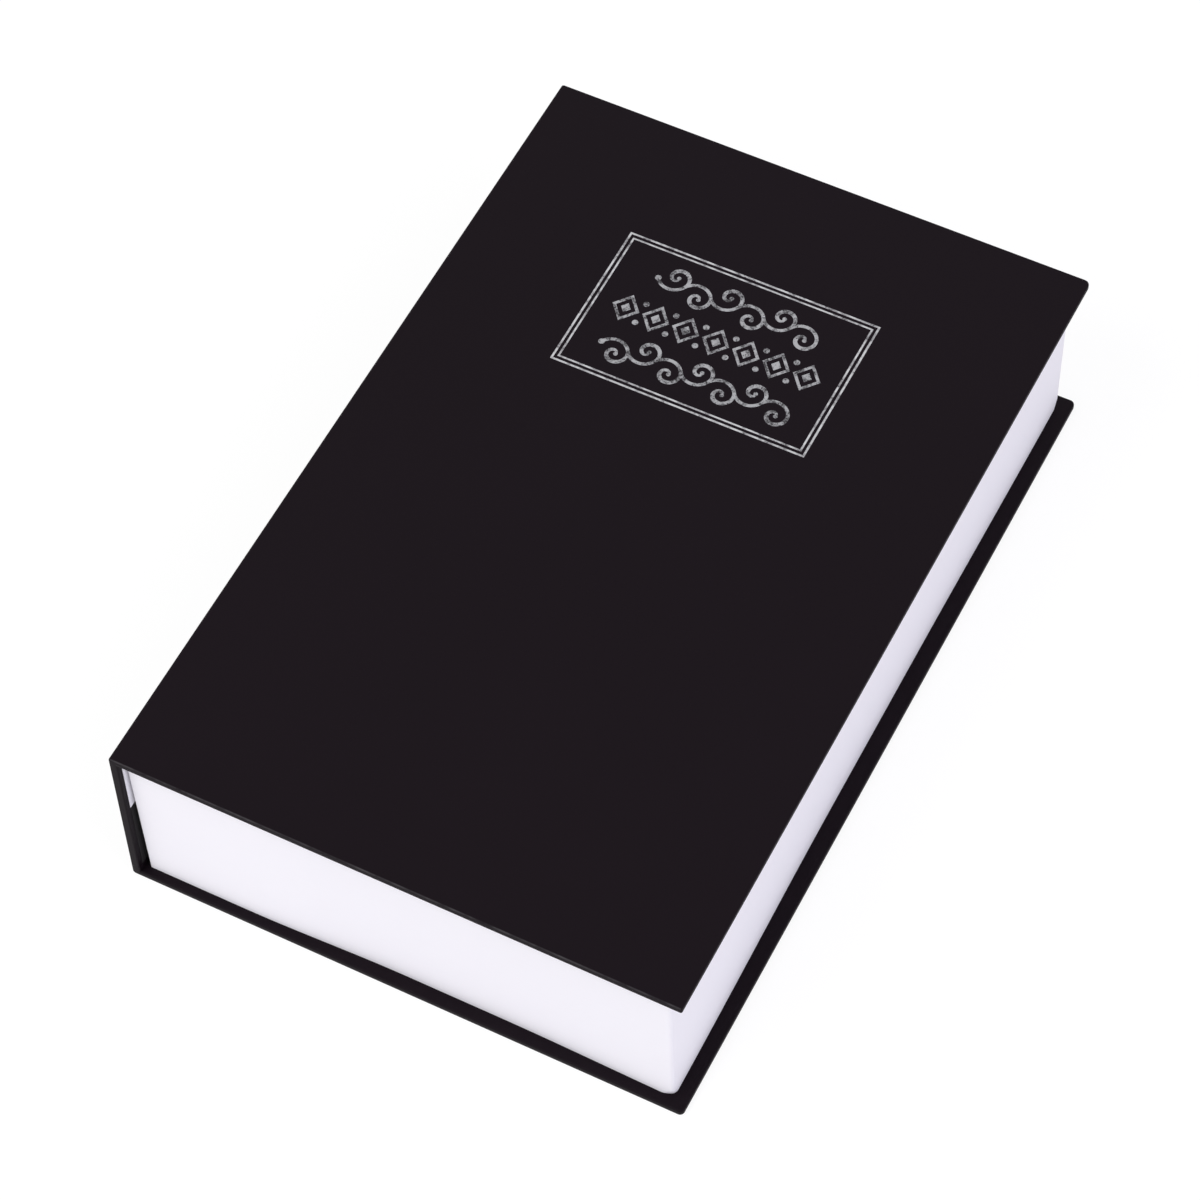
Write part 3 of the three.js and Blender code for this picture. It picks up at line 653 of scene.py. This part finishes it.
# Fold piece: the wrapped corner between the spine and a cover, which bends when the book opens
def foldBar(name, cornerZ, coverInner, spineInner, inwards, bend, bodies):
    radius, segments = case["edgeRadius"], case["edgeSegments"]
    turns = [math.pi / 2 * i / segments for i in range(segments + 1)]
    steps = [(radius * (1 - math.sin(turn)), case["endY"] - radius * (1 - math.cos(turn))) for turn in turns]
    steps.append((0, case["endY"] - 2 * radius))        # keeps the long faces flat in the light
    rings = [[(x, side * y, z) for x, z in foldOutline(cornerZ, coverInner, spineInner, inwards, inset)]
             for side, ordered in ((-1, steps), (1, steps[::-1])) for inset, y in ordered]
    bm = bmesh.new()
    loops = joinRings(bm, rings, closed=False)
    bm.faces.new(loops[0])
    bm.faces.new(loops[-1])
    sliceFold(bm, cornerZ, inwards, bend)
    made = makePiece(name, bm, "cover_wrap")
    bendBetween(made, *bodies, cornerZ, inwards, bend)


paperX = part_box("spine_endpaper")[1].x
foldBar("foldTop", case["top"], case["frontInner"], case["spineInner"], -1, case["topBend"],
        ("spine", "front_cover"))
foldBar("foldFoot", 0.0, case["backInner"], paperX, 1, case["footBend"], ("base", "spine"))
print("folds made")


# Papers inside the case, pasted over the turn-ins; between them they follow the board
papers = {
    "margin": 1.6 * mm,        # from the tail and from the head
    "press": 0.13 * mm,        # how far the paper sinks between the turn-ins
    "ramp": 0.6 * mm,        # over what length it sinks
}
paperY = case["endY"] - papers["margin"]
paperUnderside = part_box("front_endpaper")[0].z
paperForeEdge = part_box("front_endpaper")[1].x
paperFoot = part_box("spine_endpaper")[0].z


# A paper that sinks between bounds, each given by its axis, its place and the side on which the paper sinks
def flatPaper(name, low, high, slotName, body, standsFor, direction, bounds):
    bm = bmesh.new()
    boxMesh(bm, low, high)
    ramp = papers["ramp"]
    bounds = [("y", windowY, -1), ("y", -windowY, 1), *bounds]
    for axis, value, side in bounds:
        cutAt(bm, axis, value)
        cutAt(bm, axis, value + side * ramp)
    sunk = [vert for vert in bm.verts
            if all((getattr(vert.co, axis) - value) * side > ramp - near for axis, value, side in bounds)]
    bmesh.ops.translate(bm, vec=Vector(direction) * papers["press"], verts=sunk)
    shadeByArea(makePiece(name, bm, slotName, body, standsFor))


flatPaper("frontPaper", (case["spineX"] + foldLeg, -paperY, paperUnderside),
          (paperForeEdge, paperY, case["frontInner"]), "endpaper", "front_cover",
          ["front_endpaper"], (0, 0, 1), [("x", windowX, -1), ("x", case["spineX"] + foldLeg, 1)])
flatPaper("spinePaper", (case["spineInner"], -paperY, paperFoot),
          (paperX, paperY, case["top"] - foldLeg), "endpaper", "spine",
          ["spine_endpaper"], (-1, 0, 0), [("z", case["top"] - foldLeg, -1)])
flatPaper("spineLining", (case["spineInner"], -paperY, foldLeg),
          (paperX, paperY, paperFoot), "black_lining", "spine",
          ["spine_lining"], (-1, 0, 0), [("z", foldLeg, 1)])


# The endpaper where it runs through the upper fold
def foldPaper():
    outline = [
        (case["spineInner"], case["top"] - foldLeg),
        (case["spineInner"], case["frontInner"]),
        (case["spineX"] + foldLeg, case["frontInner"]),
        (case["spineX"] + foldLeg, paperUnderside),
        (paperX, paperUnderside),
        (paperX, case["top"] - foldLeg),
    ]
    bm = barMesh(outline, paperY)
    sliceFold(bm, case["top"], -1, case["topBend"])
    made = makePiece("foldPaper", bm, "endpaper")
    bendBetween(made, "spine", "front_cover", case["top"], -1, case["topBend"])


foldPaper()
print("papers made")


# Page block: a moulded shell with round corners, open below, with a rim round the mouth
pageBlock = {
    "wall": 2 * mm,
    "rimWidth": 6 * mm,
    "rimThickness": 1.2 * mm,
    "cornerRadii": (0.6 * mm, 0.9 * mm),        # at the spine and at the fore-edge
    "footRadii": (0.6 * mm, 3 * mm),
    "footRounding": 3 * mm,        # how far up the corners are rounded more
    "wallRadii": (0.5 * mm, 0.5 * mm),
    "mouthRadii": (3 * mm, 3 * mm),
    "edgeRadius": 0.35 * mm,
    "draft": 0.95 * mm,        # how far the spine side leans in at its foot
    "sag": 1.05 * mm,        # how far the tail and head sides sink in along their foot
    "flare": 0.45 * mm,        # how far the fore-edge side stands out at its foot beside the tail
    "foreSag": 0.37 * mm,        # how far that side sinks in along the middle of its foot
    # where these begin and end, as shares of the way from the spine to the fore-edge or from tail to head
    "draftFades": (0.0, 0.05),
    "sagGrows": (0.2, 0.5),
    "sagFades": (0.68, 1.08),
    "sagLost": 0.75,        # share of the sag that fades towards the fore-edge
    "flareFades": (0.0, 0.4),
    "foreSagFades": (0.6, 0.98),
    "cornerSegments": 14,
    "sideSegments": 24,
    "edgeSegments": 4,
}


# The moulding has shrunk a little: at its foot the spine side leans in, the other sides sink in their middle,
# and the fore-edge side stands out beside the tail. The share is 0 at the top and 1 at the foot.
def shrunk(place, low, high, share):
    wall = pageBlock["wall"]
    across = (place.x - low.x) / (high.x - low.x)
    along = (place.y - low.y) / (high.y - low.y)
    lean = pageBlock["draft"] * (1 - ease(across, *pageBlock["draftFades"]))
    sag = pageBlock["sag"] * ease(across, *pageBlock["sagGrows"])
    sag *= 1 - pageBlock["sagLost"] * ease(across, *pageBlock["sagFades"])
    fore = pageBlock["flare"]
    fore -= (pageBlock["flare"] + pageBlock["foreSag"]) * ease(along, *pageBlock["flareFades"])
    fore += pageBlock["foreSag"] * ease(along, *pageBlock["foreSagFades"])
    atEnds = ease(abs(place.y), high.y - wall, high.y)
    atForeEdge = ease(place.x, high.x - wall, high.x)
    return Vector((place.x + share * (lean + fore * atForeEdge),
                   place.y - share * math.copysign(sag * atEnds, place.y)))


def pageShell():
    low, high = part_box("page_block")
    wall, rim = pageBlock["wall"], pageBlock["rimWidth"]
    rimFoot = high.z - pageBlock["rimThickness"]
    profile = [        # from the outer foot over the rim and down the inside
        (0, "footRadii", low.z),
        (0, "cornerRadii", low.z + pageBlock["footRounding"]),
        (0, "cornerRadii", high.z),
        (rim, "mouthRadii", high.z),
        (rim, "mouthRadii", rimFoot),
        (wall, "wallRadii", rimFoot),
        (wall, "wallRadii", low.z),
    ]
    rings = []
    for inset, radii, level in profile:
        places = roundedPlaces(low, high, inset, pageBlock[radii], pageBlock["cornerSegments"],
                               pageBlock["sideSegments"])
        if inset == 0:
            places = [shrunk(place, low, high, (high.z - level) / (high.z - low.z)) for place in places]
        rings.append([(*place, level) for place in places])
    bm = bmesh.new()
    joinRings(bm, rings)
    bmesh.ops.recalc_face_normals(bm, faces=bm.faces)
    outer = [edge for edge in bm.edges if at(edge.verts[0].co.z, edge.verts[1].co.z)
             and edge.calc_face_angle() > squareAbove
             and edge.verts[0].co.z > rimFoot + near]
    bevelEdges(bm, outer, pageBlock["edgeRadius"], pageBlock["edgeSegments"])
    return bm


shadeByArea(makePiece("pageShell", pageShell(), "page_moulding", "base", ["page_block"]))
print("page block made")


# Lock body: a bezel with a rounded rim, and below it a threaded barrel with two flats
lockBody = {
    "bezelHeight": 1.5 * mm,
    "rimRounding": 0.6 * mm,
    "barrelRadius": 6 * mm,
    "bore": 4.3 * mm,
    "counterbore": 5.3 * mm,
    "flat": 5.2 * mm,        # from the axis to each flat
    "threadPitch": 1 * mm,
    "threadDepth": 0.35 * mm,
    "threadStart": 0.3,        # height of the first turn's foot, in pitches
    "threadCrest": (0.4, 0.6),        # where the crest lies over that foot, in pitches
    "chamfer": 0.3 * mm,
    "rimSegments": 5,
    "steps": 96,
}


def lockBarrel():
    low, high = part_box("lock_body")
    axis = (low + high) / 2
    lidTop = high.z - lockBody["bezelHeight"]
    rim, rounding, chamfer = (high.x - low.x) / 2, lockBody["rimRounding"], lockBody["chamfer"]
    pitch, outer = lockBody["threadPitch"], lockBody["barrelRadius"]
    root = outer - lockBody["threadDepth"]
    profile = [(lockBody["bore"], low.z), (root, low.z)]
    for i in range(int((lidTop - low.z) / pitch) - 2):
        foot = low.z + (i + lockBody["threadStart"]) * pitch
        profile += [(root, foot), *((outer, foot + pitch * share) for share in lockBody["threadCrest"])]
    profile += [(outer, lidTop - pitch), (outer, lidTop), (rim, lidTop)]
    for i in range(lockBody["rimSegments"] + 1):
        turn = math.pi / 2 * i / lockBody["rimSegments"]
        profile.append((rim - rounding * (1 - math.cos(turn)), high.z - rounding * (1 - math.sin(turn))))
    profile += [(lockBody["counterbore"] + chamfer, high.z), (lockBody["counterbore"], high.z - chamfer),
                (lockBody["counterbore"], lidTop), (lockBody["bore"], lidTop)]
    bm = bmesh.new()
    verts = [bm.verts.new((axis.x + radius, axis.y, z)) for radius, z in profile]
    edges = [bm.edges.new(pair) for pair in zip(verts, verts[1:] + verts[:1])]
    bmesh.ops.spin(bm, geom=verts + edges, cent=(axis.x, axis.y, 0), axis=(0, 0, 1), angle=math.tau,
                   steps=lockBody["steps"], use_merge=True)
    for vert in bm.verts:
        if vert.co.z < lidTop - near:        # the two flats, which the lid's hole grips
            vert.co.y = min(max(vert.co.y, axis.y - lockBody["flat"]), axis.y + lockBody["flat"])
    return bm


shadeByArea(makePiece("lockBarrel", lockBarrel(), "lock_chrome", "lid", ["lock_body"]))

# Metal parts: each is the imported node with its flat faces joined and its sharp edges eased
easedEdges = [
    # node, piece, body, slot, radius
    ("lid", "lidPan", "lid", "black_steel", 0.3 * mm),
    ("tray", "trayPan", "base", "black_steel", 0.3 * mm),
    ("hinge_leaf_fixed", "leafFixed", "base", "black_steel", 0.12 * mm),
    ("hinge_leaf_moving", "leafMoving", "lid", "black_steel", 0.12 * mm),
    ("lock_washer", "washerDisc", "lid", "bright_steel", 0.1 * mm),
    ("lock_nut", "nutHexagon", "lid", "bright_steel", 0.25 * mm),
    ("lock_plug", "plugCore", "lock_plug", "lock_chrome", 0.08 * mm),
    ("lock_cam", "camPlate", "lock_plug", "bright_steel", 0.2 * mm),
    ("lock_cam_screw", "camScrew", "lock_plug", "bright_steel", 0.1 * mm),
]
flatBelow = math.radians(1)        # faces that meet flatter than this become one
easedAbove = math.radians(50)
easedSegments = 2


def easedCopy(nodeName, pieceName, body, slotName, radius):
    bm = bmesh.new()
    bm.from_mesh(nodes[nodeName].data)
    bmesh.ops.remove_doubles(bm, verts=bm.verts, dist=2 * mergeDistance)
    bmesh.ops.dissolve_limit(bm, angle_limit=flatBelow, verts=bm.verts, edges=bm.edges)
    sharp = [edge for edge in bm.edges if edge.calc_face_angle(0) > easedAbove]
    bevelEdges(bm, sharp, radius, easedSegments)
    shadeByArea(makePiece(pieceName, bm, slotName, body, [nodeName]))


for nodeName, pieceName, body, slotName, radius in easedEdges:
    easedCopy(nodeName, pieceName, body, slotName, radius)
print("metal parts made")


# Foil ornament inside the frame: rows of scrolls and lozenges, in place of any words
ornament = {
    "strokeWidth": 0.95 * mm,
    "thickness": 0.03 * mm,
    "overlap": 0.004 * mm,        # how far a branch stands above the stem that it leaves
    "rowSpacing": 12.6 * mm,
    "scrollCount": (6, 7),        # scrolls in the upper and lower row
    "stemRadius": 4.4 * mm,
    "stemTurn": 120,        # degrees that each arch of the stem turns through
    "stepTurn": 9,        # degrees between two cuts across a stroke
    "curlShare": 0.74,        # radius of a curl's first arc, as a share of the stem's
    "curlTurn": 45,
    # each arc's radius, as a share of the first, and the share that its end narrows to
    "curlArcs": ((1.0, 1.1), (0.92, 1.1), (0.82, 1.0), (0.7, 0.95),
                 (0.58, 0.9), (0.46, 0.9), (0.36, 0.85), (0.28, 0.8)),
    "curlEye": (0.2, 60, 0.5),        # the last arc's share, turn and narrowing
    "lozengeCount": 7,
    "lozengeSize": (3.9 * mm, 4.6 * mm),
    "lozengePitch": 2.22,        # as a share of a lozenge's width
    "lozengeCore": 0.36,
    "lozengeStroke": 0.85,        # as a share of the scrolls' stroke
    "budRadius": 0.85 * mm,
    "budHeight": 0.72,        # how high the buds between lozenges lie, as a share of a lozenge's height
    "eyeShare": 0.7,        # radius of the bud in a curl's eye, as a share of the other buds'
    "budSegments": 20,
}


# A flat stroke that bends through arcs, each with its radius, its turn and the share that its end narrows to
def stroke(bm, start, heading, width, arcs, level=0.0):
    place, heading = Vector((*start, level)), math.radians(heading)
    side = Vector((-math.sin(heading), math.cos(heading), 0))
    edge = bm.edges.new([bm.verts.new(place + side * width / 2), bm.verts.new(place - side * width / 2)])
    for radius, turn, narrowing in arcs:
        side = Vector((-math.sin(heading), math.cos(heading), 0))
        centre = place + side * math.copysign(radius, turn)
        steps = max(3, int(abs(turn) / ornament["stepTurn"]))
        made = bmesh.ops.spin(bm, geom=[edge, *edge.verts], cent=centre, axis=(0, 0, 1),
                              angle=math.radians(turn), steps=steps, use_merge=False)["geom_last"]
        edge = next(element for element in made if isinstance(element, bmesh.types.BMEdge))
        place = (edge.verts[0].co + edge.verts[1].co) / 2
        heading += math.radians(turn)
        for vert in edge.verts:
            vert.co = place + (vert.co - place) * narrowing
    return place.x, place.y


def bud(bm, place, radius, level=0.0):
    segments = ornament["budSegments"]
    ring = bmesh.ops.create_circle(bm, cap_ends=True, segments=segments, radius=radius)["verts"]
    bmesh.ops.translate(bm, vec=(*place, level), verts=ring)


def curl(size, side):        # a spiral that tightens and thins towards its eye
    arcs = [(size * share, ornament["curlTurn"] * side, thin) for share, thin in ornament["curlArcs"]]
    share, turn, thin = ornament["curlEye"]
    return [*arcs, (size * share, turn * side, thin)]


# A stem that waves along the row; at the end of each arch a branch curls back under it
def scrollRow(bm, middle, count, flip):
    radius, width, stemTurn = ornament["stemRadius"], ornament["strokeWidth"], ornament["stemTurn"]
    pitch = 2 * radius * math.sin(math.radians(stemTurn / 2))
    place = (middle[0] - count * pitch / 2, middle[1])
    bud(bm, place, ornament["budRadius"], ornament["overlap"])
    for i in range(count):
        side = 1 if (i + flip) % 2 else -1
        place = stroke(bm, place, stemTurn / 2 * side, width, [(radius, -stemTurn * side, 1.0)])
        eye = stroke(bm, place, -stemTurn / 2 * side, width, curl(radius * ornament["curlShare"], -side),
                     ornament["overlap"])
        bud(bm, eye, ornament["budRadius"] * ornament["eyeShare"], ornament["overlap"] * 2)


# Hollow lozenges, each with a full one inside, and two buds in every gap
def lozengeRow(bm, middle):
    width, height = ornament["lozengeSize"]
    pitch = width * ornament["lozengePitch"]
    count = ornament["lozengeCount"]
    for i in range(count):
        x = middle[0] + (i - (count - 1) / 2) * pitch
        for share, hollow in ((1.0, True), (ornament["lozengeCore"], False)):
            ring = bmesh.ops.create_circle(bm, cap_ends=True, segments=4, radius=1.0)["verts"]
            bmesh.ops.scale(bm, vec=(width * share, height * share, 1), verts=ring)
            bmesh.ops.translate(bm, vec=(x, middle[1], 0), verts=ring)
            if hollow:
                face = ring[0].link_faces[0]
                line = ornament["strokeWidth"] * ornament["lozengeStroke"]
                bmesh.ops.inset_region(bm, faces=[face], thickness=line,
                                       use_boundary=True, use_even_offset=True)
                bmesh.ops.delete(bm, geom=[face], context="FACES")
        if i < count - 1:
            for side in (-1, 1):
                place = (x + pitch / 2, middle[1] + side * height * ornament["budHeight"])
                bud(bm, place, ornament["budRadius"])


# Gives a drawn row its thickness, half of it sunk into the cover
def foilPiece(name, draw, *values):
    bm = bmesh.new()
    draw(bm, *values)
    pushFaces(bm, list(bm.faces), (0, 0, ornament["thickness"]), keep=True)
    bmesh.ops.translate(bm, vec=(0, 0, case["top"] - ornament["thickness"] / 2), verts=bm.verts)
    made = makePiece(name, bm, "silver_foil", "front_cover")
    made.data.materials[0] = brokenFoil


brokenFoil = stampedFoil("brokenFoil", ornamentFoil)
frameMiddle = (frameLow + frameHigh) / 2
foilPiece("scrollsUpper", scrollRow, (frameMiddle.x, frameMiddle.y + ornament["rowSpacing"]),
          ornament["scrollCount"][0], 0)
foilPiece("lozenges", lozengeRow, (frameMiddle.x, frameMiddle.y))
foilPiece("scrollsLower", scrollRow, (frameMiddle.x, frameMiddle.y - ornament["rowSpacing"]),
          ornament["scrollCount"][1], 1)
print("foil made")


# Direction towards a viewer or a lamp: azimuth 0 lies before the tail, and 90 beside the fore-edge
def towards(azimuth, elevation):
    turn, lift = math.radians(azimuth), math.radians(elevation)
    return Vector((math.sin(turn) * math.cos(lift), -math.cos(turn) * math.cos(lift), math.sin(lift)))


# Camera, at the photograph's viewing angle
view = {
    "azimuth": 28.644,
    "elevation": 55.786,
    "distance": 1.0568,
    "aim": (-0.0005, -0.00982, 0.027),
    "roll": -2.0,
    "lens": 124.12,
}


def placeCamera():
    camera = bpy.data.objects.new("camera", bpy.data.cameras.new("camera"))
    scene.collection.objects.link(camera)
    camera.data.sensor_fit = "HORIZONTAL"
    camera.data.sensor_width = 36.0
    camera.data.lens = view["lens"]
    camera.data.clip_end = 20.0
    away = towards(view["azimuth"], view["elevation"])
    turn = away.to_track_quat("Z", "Y").to_matrix() @ Matrix.Rotation(math.radians(view["roll"]), 3, "Z")
    camera.matrix_world = Matrix.Translation(Vector(view["aim"]) + away * view["distance"]) @ turn.to_4x4()
    scene.camera = camera


placeCamera()


# Studio: a white floor that keeps a soft shadow, a pale world and large soft lights
studio = {
    "floorSize": 8.0,
    "floorDrop": 0.2 * mm,        # how far the floor lies below the book
    "floorColour": (0.82, 0.82, 0.82),
    "floorGlow": 1.08,
    "glowShare": 0.8,        # how much of the floor's shadow the glow hides from the camera
    "ambient": 0.62,
    "lights": [
        # name, azimuth, elevation, distance, size, power, colour
        ("key", -35.0, 48.0, 1.6, 1.1, 10.9, (1.0, 1.0, 1.0)),
        ("side", 75.0, 40.0, 1.8, 1.0, 8.65, (0.79, 0.765, 1.0)),
    ],
}


def whiteFloor():
    finish = Finish("whiteFloor")
    rays = finish.node("ShaderNodeLightPath", {}, {}, None)
    seen = [Wire(finish, rays.outputs[name]) for name in
            ("Is Camera Ray", "Is Glossy Ray", "Is Transmission Ray")]
    shown = finish.node("ShaderNodeMath", {"operation": "ADD", "use_clamp": True},
                        {0: seen[0] + seen[1], 1: seen[2]})
    matte = finish.node("ShaderNodeBsdfDiffuse", {}, {"Color": (*studio["floorColour"], 1)})
    glow = finish.node("ShaderNodeEmission", {}, {"Color": (1, 1, 1, 1), "Strength": studio["floorGlow"]})
    surface = finish.node("ShaderNodeMixShader", {}, {0: shown * studio["glowShare"], 1: matte, 2: glow})
    finish.node("ShaderNodeOutputMaterial", {}, {"Surface": surface}, None)
    bm = bmesh.new()
    bmesh.ops.create_grid(bm, x_segments=1, y_segments=1, size=studio["floorSize"] / 2)
    bmesh.ops.translate(bm, vec=(0, 0, -studio["floorDrop"]), verts=bm.verts)
    mesh = bpy.data.meshes.new("floor")
    bm.to_mesh(mesh)
    bm.free()
    floor = bpy.data.objects.new("floor", mesh)
    mesh.materials.append(finish.material)
    scene.collection.objects.link(floor)


# White where the camera or a reflection sees it, and dimmer as a light on the book
def paleWorld():
    world = bpy.data.worlds.new("paleWorld")
    scene.world = world
    world.use_nodes = True
    tree = world.node_tree
    tree.nodes.clear()
    rays = tree.nodes.new("ShaderNodeLightPath")
    seen = rays.outputs["Is Camera Ray"]
    for name in ("Is Glossy Ray", "Is Transmission Ray"):
        either = tree.nodes.new("ShaderNodeMath")
        either.operation = "MAXIMUM"
        tree.links.new(seen, either.inputs[0])
        tree.links.new(rays.outputs[name], either.inputs[1])
        seen = either.outputs[0]
    strength = tree.nodes.new("ShaderNodeMapRange")
    strength.inputs["To Min"].default_value = studio["ambient"]
    strength.inputs["To Max"].default_value = 1.0
    tree.links.new(seen, strength.inputs["Value"])
    background = tree.nodes.new("ShaderNodeBackground")
    background.inputs["Color"].default_value = (1, 1, 1, 1)
    tree.links.new(strength.outputs["Result"], background.inputs["Strength"])
    output = tree.nodes.new("ShaderNodeOutputWorld")
    tree.links.new(background.outputs["Background"], output.inputs["Surface"])


def placeLights():
    for name, azimuth, elevation, distance, size, power, colour in studio["lights"]:
        light = bpy.data.lights.new(name, "AREA")
        light.shape = "DISK"
        light.size = size
        light.energy = power
        light.color = colour
        lamp = bpy.data.objects.new(name, light)
        scene.collection.objects.link(lamp)
        away = towards(azimuth, elevation)
        turn = away.to_track_quat("Z", "Y").to_matrix()
        lamp.matrix_world = Matrix.Translation(away * distance) @ turn.to_4x4()


whiteFloor()
paleWorld()
placeLights()
scene.view_settings.view_transform = "Standard"
print("studio set")
